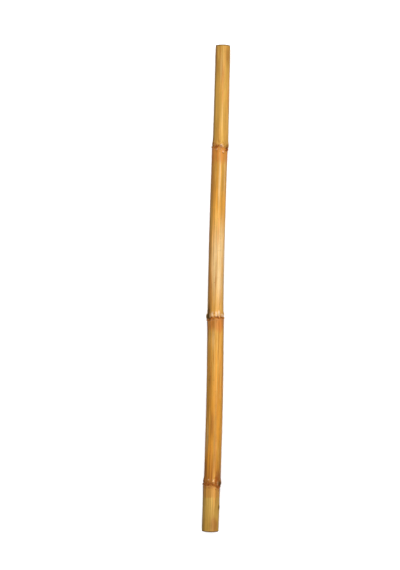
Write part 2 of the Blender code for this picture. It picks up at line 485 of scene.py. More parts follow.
def fine_relief(station, angle):
    """Flutes along each internode, and at each node a torn lip, a lumpy ridge, a wrinkled flare,
    knobs and the cut face of the stub."""
    total = np.zeros_like(station)
    for i, (_, weight) in enumerate(internode_shares(station)):
        total = total + FLUTE_HEIGHT * weight * waves(angle, station, FLUTES, i)
    for i, node in enumerate(NODE_STATIONS):
        above = station - node
        tear = waves(angle, station, LIP_TEARS, i) * bell(above, LIP_WIDTH_BELOW)
        lump = waves(angle, station, RIDGE_LUMPS, i) * bell(above - RIDGE_STATION, RIDGE_LUMP_WIDTH)
        below = np.exp(np.minimum(above, 0) / FLARE_WRINKLE_REACH) * (above < 0)
        wrinkle = waves(angle, station, FLARE_WRINKLES, i) * below
        total = total + LIP_TEAR * tear + RIDGE_LUMP * lump + FLARE_WRINKLE * wrinkle
        total = total + KNOB_HEIGHT * knob_share(above, angle, i, KNOB_REACH)
        away = from_branch(above, angle, i)
        total = total + STUB_RIM * bell(away - STUB_RIM_PLACE, STUB_RIM_WIDTH)
        total = total - STUB_PIT * bell(away, STUB_PIT_WIDTH)
    return total


def scar_shift(station, angle):
    """How far the rings near a node move along the culm: towards the butt where the scar dips under
    the stub, and a little to and fro all round."""
    total = np.zeros_like(station)
    for i, node in enumerate(NODE_STATIONS):
        dip = bell(turned_from(angle, BRANCH_ANGLES[i]), SCAR_DIP_SPREAD)
        path = waves(angle, np.zeros_like(station), LIP_PATHS, i)
        total = total - SCAR_DIP * dip * bell(station - node, SCAR_DIP_REACH)
        total = total + LIP_WANDER * path * bell(station - node, RIDGE_STATION)
    return total


# %% [markdown]
# Rings, from the butt's hollow to the tip's
#
# The closed skin is one sweep of rings: out of the hollow at the butt, over the sawn face, along the
# outside, over the other face and into the hollow at the tip. Rings crowd together at the nodes, where
# the shape changes fast. To place them, one over the wished spacing is summed along the cane, and the
# rings are read off at equal steps of that sum.

# %% Rings of the outside
SEGMENTS = 160
FINEST_SPACING = 0.32 * MM
WIDEST_SPACING = 4.4 * MM
END_SPACING = 0.6 * MM
CROWDED_REACH = 8 * MM
CALM_REACH = 40 * MM
END_REACH = 9 * MM
LINE_STEPS = 20000

angles = math.pi + np.arange(SEGMENTS) * 2 * math.pi / SEGMENTS


def outside_stations():
    """Stations of the outer rings, densest round each node. The two end rings belong to the ends."""
    line = np.linspace(0, CANE_LENGTH, LINE_STEPS + 1)
    nearest = np.min([np.abs(line - node - RIDGE_STATION / 2) for node in NODE_STATIONS], axis=0)
    wider = smooth_step(nearest, CROWDED_REACH, CALM_REACH)
    spacing = FINEST_SPACING + (WIDEST_SPACING - FINEST_SPACING) * wider
    from_end = smooth_step(np.minimum(line, CANE_LENGTH - line), 0, END_REACH)
    spacing = np.minimum(spacing, END_SPACING + (WIDEST_SPACING - END_SPACING) * from_end)
    steps = np.concatenate([[0], np.cumsum(np.diff(line) / spacing[1:])])
    return np.interp(np.linspace(0, steps[-1], int(steps[-1])), steps, line)[1:-1]


def outside_rings():
    """Station, shift along the cane and radius of every point of the outside, ring by ring."""
    station, angle = np.meshgrid(outside_stations(), angles, indexing="ij")
    to_end = np.minimum(station, CANE_LENGTH - station)
    shift = scar_shift(station, angle)
    radius = main_radius(station, angle) + fine_relief(station, angle)
    return station, shift * smooth_step(to_end, 0, SCAR_DIP_REACH), radius


outside = outside_rings()
print(f"outside: {len(outside[0])} rings of {SEGMENTS} points")

# %% [markdown]
# Sawn ends and hollows
#
# A fine saw leaves a flat face with a crisp edge, so each end gets a small rounded corner with chips
# in it. The hollow has a papery lining with long soft wrinkles, and ends at the diaphragm, a dished
# disc across the node. A point's depth says where it is: below 0 on the corner, 0 to 1 across the sawn
# wall, 1 to 2 down the hollow and 2 to 3 from the rim of the diaphragm to its middle.

# %% Rings of the ends and the hollows
CORNER_ROUND = 0.4 * MM
CORNER_RINGS, FACE_RINGS, BORE_RINGS, DISH_RINGS = 5, 9, 22, 10
CHIP_DEPTH = 0.12 * MM
CHIPS = (70, (9, 40), (1, 2))
TIP_SEED_STEP = 10
SAW_MARK = 0.03 * MM
SAW_MARK_SEED = 71
SAW_MARK_CRESTS = (2, 30)
LINING_WRINKLE = 0.14 * MM
LINING_WRINKLES = (72, (6, 26), (0.04, 0.3))
LINING_START = 0.1
DISH_DEPTH = 1.5 * MM
BUTT_FLOOR = NODE_STATIONS[0] - 0.5 * MM
TIP_FLOOR = NODE_STATIONS[-1] + 6.5 * MM
SKIN_DEPTH = -1.0


def end_rings(mouth, floor, wall, i):
    """Station, shift, radius and depth of each point from the outer corner of a sawn face, across the
    face, into the hollow and over its floor."""
    inwards = math.copysign(1, floor - mouth)
    at_mouth = np.full_like(angles, mouth)
    outer = main_radius(at_mouth, angles) + fine_relief(at_mouth, angles)
    bore = outer.mean() - wall
    corner = CORNER_ROUND + CHIP_DEPTH * np.abs(waves(angles, 0.0, CHIPS, i))
    saw_marks = (SAW_MARK_SEED, SAW_MARK_CRESTS, (wall, 4 * wall))
    rows = []
    for turn in np.linspace(0, math.pi / 2, CORNER_RINGS, endpoint=False):
        shift = inwards * corner * (1 - math.sin(turn))
        rows.append((mouth, shift, outer - corner * (1 - math.cos(turn)), SKIN_DEPTH))
    for share in np.linspace(0, 1, FACE_RINGS):
        mark = SAW_MARK * np.abs(waves(angles, share * wall, saw_marks, i))
        rows.append((mouth, inwards * mark, (outer - corner) * (1 - share) + bore * share, share))
    for share in np.linspace(0, 1, BORE_RINGS)[1:]:
        station = mouth + (floor - mouth) * share
        wrinkle = LINING_WRINKLE * waves(angles, station, LINING_WRINKLES, i)
        rows.append((station, 0.0, bore + wrinkle * smooth_step(share, 0, LINING_START), 1 + share))
    rim = rows[-1][2]
    for share in np.linspace(0, 1, DISH_RINGS, endpoint=False)[1:]:
        dish = inwards * DISH_DEPTH * math.sin(share * math.pi / 2)
        rows.append((floor, dish, rim * (1 - share), 2 + share))
    rings = [[np.broadcast_to(value, angles.shape) for value in row] for row in rows]
    return [np.array(column) for column in zip(*rings)]


butt_end = end_rings(0.0, BUTT_FLOOR, BUTT_WALL, 0)
tip_end = end_rings(CANE_LENGTH, TIP_FLOOR, TIP_WALL, TIP_SEED_STEP)
print(f"each end: {len(butt_end[0])} rings")

# %% [markdown]
# One closed mesh
#
# The rings are put in order and placed round the centre line, and whatever would go below the table is
# pressed flat onto it. Four neighbours in the grid make a quad. The last point of a ring joins the
# first, so there is no gap, and one point closes each diaphragm. Going round and then along gives each
# face corners in the order that makes it point outwards.

# %% Place the points and make the faces
skin_depth = np.full_like(outside[0], SKIN_DEPTH)
parts = zip([column[::-1] for column in butt_end], [*outside, skin_depth], tip_end)
station, shift, radius, depth = (np.concatenate(part) for part in parts)
angle = np.broadcast_to(angles, station.shape)
ring_count = len(station)

side, height = centre_line(station)
x = side + radius * np.sin(angle)
y = station + shift - CANE_LENGTH / 2
z = np.maximum(height + radius * np.cos(angle), 0)
sideways = (x.min() + x.max()) / 2


def diaphragm_middle(floor, inwards):
    """The middle point of a diaphragm, a full dish beyond its rim."""
    (middle_x,), (middle_z,) = centre_line(np.array([floor]))
    return middle_x, floor + inwards * DISH_DEPTH - CANE_LENGTH / 2, middle_z


poles = [diaphragm_middle(BUTT_FLOOR, 1), diaphragm_middle(TIP_FLOOR, -1)]
points = np.concatenate([np.stack([x, y, z], axis=-1).reshape(-1, 3), poles])
points[:, 0] -= sideways

numbers = np.arange(ring_count * SEGMENTS).reshape(ring_count, SEGMENTS)
following = np.roll(numbers, -1, axis=1)
quads = np.stack([numbers[:-1], following[:-1], following[1:], numbers[1:]], axis=-1).reshape(-1, 4)
first_pole, last_pole = len(points) - 2, len(points) - 1
butt_fan = [(first_pole, b, a) for a, b in zip(numbers[0], following[0])]
tip_fan = [(a, b, last_pole) for a, b in zip(numbers[-1], following[-1])]

culm_mesh = bpy.data.meshes.new("cane_culm")
culm_mesh.from_pydata(points.tolist(), [], [*quads.tolist(), *butt_fan, *tip_fan])
culm = add_object("cane_culm", culm_mesh)
print(f"culm: {ring_count} rings, {2 * len(quads) + 2 * SEGMENTS} triangles")

# %% [markdown]
# Where each finish goes
#
# Three finishes share the mesh: skin, sawn wood and lining. Which one a face takes follows from the
# depth of its ring. Edges that turn by more than 55 degrees, such as the rim of the saw cut, are
# marked sharp, and everything else is shaded smooth.

# %% Give every face its finish
SKIN_SLOT, SAWN_SLOT, LINING_SLOT = range(3)
SHARP_EDGE = math.radians(55)

band_depth = (depth[:-1, 0] + depth[1:, 0]) / 2
band_slot = np.select([band_depth < 0, band_depth <= 1], [SKIN_SLOT, SAWN_SLOT], LINING_SLOT)
face_slots = np.concatenate([np.repeat(band_slot, SEGMENTS), np.full(2 * SEGMENTS, LINING_SLOT)])
culm_mesh.polygons.foreach_set("material_index", face_slots.astype(np.int32))
culm_mesh.shade_smooth()
culm_mesh.set_sharp_from_angle(angle=SHARP_EDGE)
print("faces of skin, sawn wood and lining:", np.bincount(face_slots).tolist())

# %% [markdown]
# An unrolled map
#
# A texture map of something 30 times longer than wide wastes most of its square. Here the skin is
# unrolled and cut across into three strips of equal length, laid one above the other, with the
# diaphragms, hollows and sawn faces in a row on top. On a strip, U follows the length of the profile
# and V the angle. On a disc, both follow the point's own place.

# %% Unroll the map
STRIPS = 3
STRIP_HEIGHT = 0.26
ISLAND_GAP = 0.01
TOP_ROW = ISLAND_GAP + STRIPS * (STRIP_HEIGHT + ISLAND_GAP)
TOP_HEIGHT = 1 - TOP_ROW - ISLAND_GAP
FLOOR_WIDTH = 0.08
BUTT_BORE_WIDTH = 0.15
TIP_BORE_WIDTH = 0.27

mean_run = np.diff((station + shift).mean(axis=1))
mean_rise = np.diff(radius.mean(axis=1))
profile_length = np.concatenate([[0], np.cumsum(np.hypot(mean_run, mean_rise))])
columns = np.arange(SEGMENTS + 1)
lower_map = np.zeros((ring_count - 1, SEGMENTS + 1, 2))
upper_map = np.zeros_like(lower_map)


def place_island(first, last, grid):
    """Gives the bands between two rings their places on the map, below and above each band."""
    lower_map[first:last] = grid[:-1]
    upper_map[first:last] = grid[1:]


def unroll(first, last, left, bottom, width, height):
    """Lays the bands between two rings out as a rectangle: U by profile length, V by angle."""
    along = profile_length[first:last + 1] - profile_length[first]
    u = left + width * along / along[-1]
    v = bottom + height * columns / SEGMENTS
    place_island(first, last, np.stack(np.meshgrid(u, v, indexing="ij"), axis=-1))


def flatten(first, last, left, bottom, width):
    """Lays the bands between two rings out as a disc: each point at its own place, seen end on."""
    reach = radius[first:last + 1][:, columns % SEGMENTS]
    turn = angles[columns % SEGMENTS]
    disc = np.stack([reach * np.sin(turn), reach * np.cos(turn)], axis=-1) / reach.max()
    place_island(first, last, disc * width / 2 + [left + width / 2, bottom + width / 2])


end_marks = np.cumsum([0, DISH_RINGS - 1, BORE_RINGS - 1, FACE_RINGS - 1])
tip_marks = ring_count - 1 - end_marks
left = ISLAND_GAP
for marks, bore_width in ((end_marks, BUTT_BORE_WIDTH), (tip_marks, TIP_BORE_WIDTH)):
    middle, rim, mouth, corner = marks
    flatten(*sorted((middle, rim)), left, TOP_ROW, FLOOR_WIDTH)
    left += FLOOR_WIDTH + ISLAND_GAP
    unroll(*sorted((rim, mouth)), left, TOP_ROW, bore_width, TOP_HEIGHT)
    left += bore_width + ISLAND_GAP
    flatten(*sorted((mouth, corner)), left, TOP_ROW, TOP_HEIGHT)
    left += TOP_HEIGHT + ISLAND_GAP

skin_ends = profile_length[[end_marks[-1], tip_marks[-1]]]
cuts = np.searchsorted(profile_length, np.linspace(*skin_ends, STRIPS + 1))
for k, (first, last) in enumerate(zip(cuts[:-1], cuts[1:])):
    bottom = ISLAND_GAP + k * (STRIP_HEIGHT + ISLAND_GAP)
    unroll(first, last, ISLAND_GAP, bottom, 1 - 2 * ISLAND_GAP, STRIP_HEIGHT)

lower_left, lower_right = lower_map[:, :-1], lower_map[:, 1:]
upper_left, upper_right = upper_map[:, :-1], upper_map[:, 1:]
quad_map = np.stack([lower_left, lower_right, upper_right, upper_left], axis=2)
butt_ring, tip_ring = lower_map[0], upper_map[-1]
butt_pole = np.broadcast_to(butt_ring[:-1].mean(axis=0), (SEGMENTS, 2))
tip_pole = np.broadcast_to(tip_ring[:-1].mean(axis=0), (SEGMENTS, 2))
butt_fan_map = np.stack([butt_pole, butt_ring[1:], butt_ring[:-1]], axis=1)
tip_fan_map = np.stack([tip_ring[:-1], tip_ring[1:], tip_pole], axis=1)
corner_map = np.concatenate([part.ravel() for part in (quad_map, butt_fan_map, tip_fan_map)])
culm_mesh.uv_layers.new(name="OFBake").data.foreach_set("uv", corner_map.astype(np.float32))
print(f"map: {STRIPS} strips of skin, and a row of ends {left:.2f} wide")

# %% [markdown]
# What each point knows
#
# A material could work out where the nodes are with long chains of nodes, but numpy already knows. So
# each point stores a few numbers, and the materials read them as attributes. The place on a straight
# culm, in millimetres, keeps the grain true along the bends. The number of the internode tells the
# patterns apart, and the depth says where on an end a point is.

# %% Store where every point is
def store(name, values, poles=(0, 0)):
    """Keeps one number per point on the mesh, as an attribute that the materials read."""
    layer = culm_mesh.attributes.new(name, "FLOAT", "POINT")
    layer.data.foreach_set("value", np.append(values, poles).astype(np.float32))


straight = np.stack([radius * np.sin(angle), station + shift, radius * np.cos(angle)], axis=-1)
straight_poles = [[0, BUTT_FLOOR + DISH_DEPTH, 0], [0, TIP_FLOOR - DISH_DEPTH, 0]]
straight = np.concatenate([straight.reshape(-1, 3), straight_poles]) / MM
straight_layer = culm_mesh.attributes.new("straight", "FLOAT_VECTOR", "POINT")
straight_layer.data.foreach_set("vector", straight.astype(np.float32).ravel())
last = len(SIDE_BOWS) - 1
store("internode", across_internodes(station, [(i, i) for i in range(last + 1)]), (0, last))
store("depth", np.maximum(depth, 0), (3, 3))
print("stored: straight place, internode and depth")

# %% [markdown]
# The marks of a node
#
# A waxy bloom under each node has taken on a tan. Rust runs along the scar with a dot on every root
# knob, pale tongues run up between the knobs, and the foot of the next internode is darker. Mould has
# stained the furrow, and soot covers the stub. Each mark is a function of the height above the scar
# and the angle, with a strength for each node.

# %% Describe the marks of a node
BLOOM_REACHES = np.array([18, 11, 18]) * MM
BLOOM_EDGES = np.array([3, 20, 18]) * MM
BLOOM_STRENGTHS = (1.0, 0.95, 0.75)
BLOOM_WANDER = 1.1 * MM
BLOOM_PATHS = (120, (2, 26), (1, 2))
FOOT_REACH = 31 * MM
FOOT_GAP = 0.7
FOOT_GAP_SIDE = math.radians(9)
FOOT_GAP_SPREAD = math.radians(12)
FOOT_STRENGTHS = (1.25, 0.15, 0.45)
RUST_STATION = 0.3 * MM
RUST_REACHES = np.array([6.2, 3.6, 6.0]) * MM
RUST_STRENGTHS = (0.75, 0.52, 0.52)
DOT_REACH = 2.1 * MM
DOT_STRENGTHS = (0.6, 1.0, 0.8)
TONGUE_STRENGTHS = (0.4, 0.82, 0.35)
TONGUE_SEED = 90
TONGUE_SLIDE = 0.15
TONGUE_HALF_WIDTHS = (1.725 * MM, 2.53 * MM)
TONGUE_START = 0.8 * MM
TONGUE_FULL = 2.4 * MM
TONGUE_TOPS = (6 * MM, 15 * MM)
TONGUE_SHARES = (0.5, 1)
LIP_EDGE_STATION = -3.0 * MM
LIP_EDGE_REACH = 1.3 * MM
STAIN_TURN = math.radians(20)
STAIN_SPREAD = math.radians(22)
STAIN_START = 3 * MM
STAIN_REACH = 26 * MM
STAIN_STRENGTHS = (0.5, 1.0, 0.4)
STUB_TURNS = np.radians([7, 15, 7])
STUB_STRENGTHS = (0.85, 0.9, 0.55)
STUB_STAIN_REACH = 1.05


def node_sum(share):
    """Adds up share(node number, distance above the scar) over the nodes."""
    return sum(share(i, station - node) for i, node in enumerate(NODE_STATIONS))


def bloom_share(i, above):
    """Full under the scar for the bloom's reach, then fading over that node's own edge, at a height
    that wanders a little round the culm."""
    uneven = above + BLOOM_WANDER * waves(angle, 0.0, BLOOM_PATHS, i)
    full = -BLOOM_REACHES[i]
    return BLOOM_STRENGTHS[i] * smooth_step(uneven, full - BLOOM_EDGES[i], full) * (above < 0)


def foot_share(i, above):
    """The darker foot of an internode, which fades upwards from the scar and leaves a gap in front."""
    gap = FOOT_GAP * bell(turned_from(angle, FOOT_GAP_SIDE), FOOT_GAP_SPREAD)
    fading = np.exp(-np.maximum(above, 0) / FOOT_REACH) * (above > 0)
    return FOOT_STRENGTHS[i] * fading * (1 - gap)


def tongue_share(i, above):
    """Pale tongues that run up between the knobs, each with its own width, height and strength."""
    draw = np.random.default_rng(TONGUE_SEED + i)
    rising = smooth_step(above, TONGUE_START, TONGUE_FULL)
    total = np.zeros_like(above)
    for k in range(KNOB_COUNT):
        turn = (k + 0.5 + draw.uniform(-TONGUE_SLIDE, TONGUE_SLIDE)) / KNOB_COUNT
        width, top = draw.uniform(*TONGUE_HALF_WIDTHS), draw.uniform(*TONGUE_TOPS)
        along = rising * (1 - smooth_step(above, top / 2, top)) * draw.uniform(*TONGUE_SHARES)
        across = turned_from(angle, KNOB_PHASES[i] + turn * 2 * math.pi) * radius
        total = np.maximum(total, along * bell(across, width))
    return TONGUE_STRENGTHS[i] * total


def stain_share(i, above):
    """The dark stain of the furrow, which leans towards the culm's top from the stub."""
    branch = BRANCH_ANGLES[i]
    middle = branch - math.copysign(STAIN_TURN, branch)
    fading = smooth_step(above, 0, STAIN_START) * np.exp(-np.maximum(above, 0) / STAIN_REACH)
    return STAIN_STRENGTHS[i] * fading * bell(turned_from(angle, middle), STAIN_SPREAD)


def stub_share(i, above):
    """The sooty cut face of the stub, with the stain a little nearer to the culm's top."""
    turned = angle + math.copysign(STUB_TURNS[i], BRANCH_ANGLES[i])
    return STUB_STRENGTHS[i] * bell(from_branch(above, turned, i), STUB_STAIN_REACH)


print("marks of a node: bloom, foot, tongues, stain and stub")

# %% [markdown]
# Patches and lines
#
# Other marks stand where they happened to: patches of rust, dark patches near the nodes, pale flecks,
# and pale, dark and scorched lines along the fibres. Many of the pale lines are painted highlight,
# bright streaks like a lamp's reflection, and many of the dark and scorched ones are painted shade, on
# the side that the camera sees. Each is a bell curve, given by its station in mm, its degrees right of
# the top, its half length and half width in mm, and its strength. The sides that the camera doesn't
# see get pale and dark lines drawn at random.

# %% List the patches and lines
RUST_PATCHES = (
    (603, -26, 4, 4, 1.1), (603, 55, 5, 4.2, 1.1), (594, 22, 1.2, 3.2, 0.7),
    (335, -42, 3.2, 3, 1), (336.2, -4, 2.4, 1.8, 1), (336, 43, 2.4, 1.8, 0.9),
    (605, -66, 9, 3, 0.9), (84, 27, 8, 3.6, 0.8), (77, -62, 8, 3.5, 0.9),
)
# Dark patches near the nodes, beside the stubs and below them.
DARK_PATCHES = (
    (330, -78, 6, 3.4, 0.75), (348, -60, 10, 2.8, 0.62), (339, -48, 6.5, 2.6, 0.62),
    (70, 74, 4.5, 2.6, 0.5), (80, -66, 9, 2.4, 0.45),
)
FLECKS = (
    (342.5, 26, 5.5, 2.4, 0.8), (341, -22, 4.5, 2.2, 0.7), (604.2, 7, 2.8, 2, 1.1),
    (604.4, 22, 2, 1.4, 0.5), (598.4, -22, 1.8, 1.9, 0.6), (596.2, 25, 1.9, 1.6, 0.6),
    (82, -25, 1.9, 1.9, 0.5), (81, 8, 2.8, 1.9, 0.5),
)
# Many pale lines are painted highlight: bright streaks laid along the skin like a lamp's reflection.
PALE_LINES_AND_PAINTED_HIGHLIGHTS = (
    (728, -10, 34, 2.4, 0.5), (645, 6, 36, 2.6, 0.4), (550, 6, 44, 1.6, 1),
    (556, 50, 36, 1.5, 0.8), (428, 30, 62, 2, 1), (405, -13, 66, 1.6, 0.7),
    (302, -16, 26, 3, 0.5), (146, -50, 34, 3, 0.55),
)
# Many dark lines are painted shade: darker stripes beside the bright streaks, and wide dark bands on
# the butt and on the tip's right side.
DARK_LINES_AND_PAINTED_SHADE = (
    (728, -33, 17, 2.2, 0.8), (732, 44, 44, 4.5, 0.7), (655, -27, 42, 2.2, 0.7),
    (640, 17, 34, 1.2, 0.7), (560, 27, 40, 1.3, 0.8), (415, 6, 55, 1.1, 0.7),
    (235, 38, 36, 1.3, 0.7), (38, 44, 30, 4.5, 0.7), (10, 14, 30, 10, 1),
    (6, -40, 24, 8, 0.9),
)
# On the side the camera sees, the scorched patches are painted shade: they darken parts of the skin as
# if less light fell there. Those on the far sides are stains.
SCORCHES_AND_PAINTED_SHADE = (
    (168, -14, 26, 4.5, 0.8), (312, -62, 17, 2.6, 0.9), (98, -60, 18, 4, 1),
    (87, 42, 12, 6, 1), (11, 26, 14, 8, 1), (745, 38, 22, 6, 0.7),
    (262, 128, 42, 7, 1), (455, -118, 50, 6, 1), (540, -44, 60, 6, 0.7),
    (690, 165, 38, 6, 1), (24, -150, 16, 5, 1),
)
PALE_SEED = 100
DARK_SEED = 110
HIDDEN_LINES = 14
HIDDEN_RANGES = ((15.24, 746.76), (75, 285), (25, 80), (1.0, 2.2), (0.5, 1.0))


def patch_share(patches):
    """How deep in a patch a point is: the highest of some bells, each stretched along the culm."""
    total = np.zeros_like(station)
    for middle, degrees, reach, spread, strength in patches:
        across = turned_from(angle, math.radians(degrees)) * radius
        away = np.hypot((station / MM - middle) / reach, across / MM / spread)
        total = np.maximum(total, strength * bell(away, 1))
    return total


def with_hidden(lines, seed):
    """The listed lines, and drawn ones on the sides that the camera doesn't see."""
    draw = np.random.default_rng(seed)
    drawn = [[draw.uniform(*limits) for limits in HIDDEN_RANGES] for _ in range(HIDDEN_LINES)]
    return (*lines, *drawn)


print("patches and lines are listed")

# %% [markdown]
# The colours of the skin
#
# Each internode dried differently: the lowest and the highest stayed olive, the lower middle turned
# honey brown, and the upper middle bleached to bone. The bone is also painted paler towards its right
# side, a painted highlight where the lamps' streak falls. Those three, the marks, the patches and the
# lines are each stored as how much of that colour there is.

# %% Store the colours of the skin
HONEY_RUN = ((0.35, 0.5), (1.0, 0.4), (0.45, 0.5), (0.06, 0.12))
OLIVE_RUN = ((1.1, 1.0), (0.05, 0.0), (0.0, 0.0), (0.45, 0.5))
OLIVE_SIDE = math.radians(-35)
# The bone is painted paler towards this side, where the lamps' streak falls: a painted highlight.
PAINTED_HIGHLIGHT_SIDE = math.radians(30)
BONE_MIDDLE = 420 * MM
BONE_REACH = 66 * MM
SCAB_TURN = math.radians(10)
CUT_EDGE_REACH = 1.7 * MM


def facing(side, far=1 / 3):
    """1 on the side at that angle, falling by a cosine to far on the other side."""
    return (1 + far + (1 - far) * np.cos(angle - side)) / 2


blooms = [bloom_share(i, station - node) for i, node in enumerate(NODE_STATIONS)]
to_end = np.minimum(station + shift, CANE_LENGTH - station - shift)
scab = bell(from_scab(station, angle + SCAB_TURN), 1)
rust = node_sum(lambda i, above: RUST_STRENGTHS[i] * bell(above - RUST_STATION, RUST_REACHES[i]))
shares_on_skin = {
    "skin": 1.0,
    "honey": across_internodes(station, HONEY_RUN),
    "olive": across_internodes(station, OLIVE_RUN) * facing(OLIVE_SIDE),
    # Bone, painted paler on its right side as a painted highlight.
    "bone_and_painted_highlight": bell(station - BONE_MIDDLE, BONE_REACH) * facing(PAINTED_HIGHLIGHT_SIDE, 0) ** 2,
    # Pale lines, many of them painted highlight.
    "pale_line_and_painted_highlight": patch_share(with_hidden(PALE_LINES_AND_PAINTED_HIGHLIGHTS, PALE_SEED)),
    # Dark lines, many of them painted shade.
    "dark_line_and_painted_shade": patch_share(with_hidden(DARK_LINES_AND_PAINTED_SHADE, DARK_SEED)),
    "young_bloom": blooms[0],
    "bloom": sum(blooms[1:]),
    "foot": node_sum(foot_share),
    # Scorched patches, on the seen side painted shade.
    "scorch_and_painted_shade": patch_share(SCORCHES_AND_PAINTED_SHADE),
    "stain": node_sum(stain_share),
    "rust": np.maximum(rust, patch_share(RUST_PATCHES)),
    "tongue": np.maximum(node_sum(tongue_share), patch_share(FLECKS)),
    "lip_edge": node_sum(lambda i, above: bell(above - LIP_EDGE_STATION, LIP_EDGE_REACH)),
    "dot": node_sum(lambda i, above: DOT_STRENGTHS[i] * knob_share(above, angle, i, DOT_REACH)),
    "stub": np.max([node_sum(stub_share), patch_share(DARK_PATCHES), scab], axis=0),
    "cut_edge": bell(to_end, CUT_EDGE_REACH),
}
for name, share in shares_on_skin.items():
    store(name, share * (depth < 0))
print("stored for the skin:", ", ".join(shares_on_skin))

# %% [markdown]
# The skin
#
# Bamboo skin is silica-rich wood under a thin wax, polished by handling: hard, smooth and glossy, with
# the colour just under it. Fibres run the whole internode, so fibres half a millimetre wide, and
# streaks, bands and rays of a few, are noises of that width stretched 20 to 90 times along the culm.
# Blotches and flecks are stretched less. The number of the internode is the noise's fourth coordinate,
# so streaks stop at a node as they do on a real cane.
#
# Colours are laid on in layers. A layer shows where its stored number, roughened by a noise, passes a
# threshold, which gives the ragged, stretched edges that stains have in wood. Its row has that number,
# the colour, the noise and how ragged it makes the edge, the threshold's start and end, and the most
# that it covers. The two on the whole skin are orange bands and golden rays.

# %% Mix the skin
STRAW = "#e6a94e"
SKIN_ROUGHNESS = 0.3
SCAR_ROUGHNESS = 0.75
NOISE_STEP = 5.3
NOISE_DETAIL = 3.0
SKIN_NOISES = {
    "fibre": (0.45, 40), "streak": (2.6, 150), "band": (4.2, 75), "ray": (1.5, 55),
    "blotch": (9, 32), "patch": (3.4, 2.6), "mottle": (1.6, 3.5), "fleck": (0.7, 2.2),
}
SKIN_LAYERS = (
    ("honey", "#d9902e", "streak", 0.5, 0, 1, 1),
    ("olive", "#c99c48", "streak", 0.7, 0.05, 0.8, 1),
    # Bone, painted paler on its right side as a painted highlight.
    ("bone_and_painted_highlight", "#f4cf98", "streak", 0.45, 0.1, 1, 0.9),
    ("skin", "#cf7f34", "band", 2, 1, 1.3, 0.65),
    ("skin", "#edbd62", "ray", 2, 1, 1.3, 0.65),
    # Pale lines, many of them painted highlight.
    ("pale_line_and_painted_highlight", "#fad292", "fibre", 0.6, 0.15, 0.8, 0.7),
    # Dark lines, many of them painted shade.
    ("dark_line_and_painted_shade", "#b98a3c", "fibre", 0.6, 0.15, 0.8, 0.7),
    ("bloom", "#d67e38", "streak", 1.3, 0.2, 0.95, 0.75),
    ("young_bloom", "#cb8c40", "streak", 0.5, 0.2, 0.7, 0.85),
    ("foot", "#a86224", "band", 0.8, 0.1, 0.9, 0.75),
    # Scorched patches, on the seen side painted shade.
    ("scorch_and_painted_shade", "#a2622a", "streak", 0.9, 0.25, 0.9, 0.65),
    ("stain", "#4f3c16", "streak", 0.5, 0.12, 0.75, 0.75),
    ("rust", "#a4581e", "patch", 2.2, 0.3, 0.75, 0.9),
    ("tongue", "#f8d0a4", "mottle", 0.5, 0.15, 0.7, 0.85),
    ("lip_edge", "#d9965c", "patch", 1.4, 0.5, 1.1, 0.6),
    ("dot", "#8c4418", "mottle", 0.6, 0.25, 0.8, 0.85),
    ("stub", "#463012", "mottle", 0.5, 0.15, 0.75, 0.9),
    ("cut_edge", "#463012", "mottle", 0.4, 0.15, 0.8, 0.8),
)


def pattern_noises(tree, sizes):
    """For each named width and length in millimetres, a noise of that size on the straight culm."""
    place = stored(tree, "straight", "Vector")
    apart = {0: stored(tree, "internode"), 1: NOISE_STEP}
    apart = add_node(tree, "Math", apart, operation="MULTIPLY")
    noises = {}
    for name, (width, length) in sizes.items():
        scale = (1 / width, 1 / length, 1 / width)
        mapped = add_node(tree, "Mapping", {"Vector": place, "Scale": scale})
        inputs = {"Vector": mapped, "W": apart, "Scale": 1.0, "Detail": NOISE_DETAIL}
        noises[name] = add_node(tree, "TexNoise", inputs, "Fac", noise_dimensions="4D")
    return noises


def weighted_sum(tree, start, *parts):
    """start, plus each pattern times its weight."""
    for pattern, weight in parts:
        inputs = {0: pattern, 1: weight, 2: start}
        start = add_node(tree, "Math", inputs, operation="MULTIPLY_ADD")
    return start


def bumps(tree, *parts):
    """Relief too fine for faces: patterns with the height in millimetres that each gives."""
    return add_node(tree, "Bump", {"Height": weighted_sum(tree, 0.0, *parts), "Distance": MM})


def lay_over(tree, colour, pattern, start, end, most, hex_colour, step="LINEAR"):
    """Mixes a hex colour over the colour below. Its share grows from 0 to most while the pattern goes
    from start to end. Returns the mixed colour and the share."""
    share = map_range(tree, pattern, start, end, high=most, step=step)
    # A Mix node's colours are its inputs 6 and 7, and its output 2.
    inputs = {0: share, 6: colour, 7: linear(hex_colour)}
    return add_node(tree, "Mix", inputs, 2, data_type="RGBA"), share


skin_material, tree, skin_shader = new_material("glossy_culm_skin")
noises = pattern_noises(tree, SKIN_NOISES)
colour = linear(STRAW)
shares = {}
for name, hex_colour, noise, ragged, start, end, most in SKIN_LAYERS:
    rough = weighted_sum(tree, stored(tree, name), (noises[noise], ragged))
    window = (start + ragged / 2, end + ragged / 2)
    colour, shares[name] = lay_over(tree, colour, rough, *window, most, hex_colour, "SMOOTHSTEP")
print("skin layers:", len(SKIN_LAYERS))

# %% [markdown]
# Grain, gloss and relief of the skin
#
# Over the stains, each fibre and streak is a little lighter or darker than its neighbour. That is one
# factor that the colour is multiplied with. The gloss follows the same fibres, drops where rust, a
# dot, the stub or the cut edge has broken the wax, and the finest fibres and pits are a bump, too
# small to be worth faces.

# %% Finish the skin
GRAIN_CONTRAST = {"fibre": 0.8, "streak": 1.25, "blotch": 0.5, "mottle": 0.25}
FLECK_START = 0.68
FLECK_END = 0.78
FLECK_DARKNESS = 0.35
GLOSS_CONTRAST = 0.16
FIBRE_BUMP_MM = 0.05
MOTTLE_BUMP_MM = 0.05
SKIN_IOR = 1.5
COAT_ROUGHNESS = 0.16
COAT_SHARE = 0.06
GLOSS_TINT = "#ffd890"

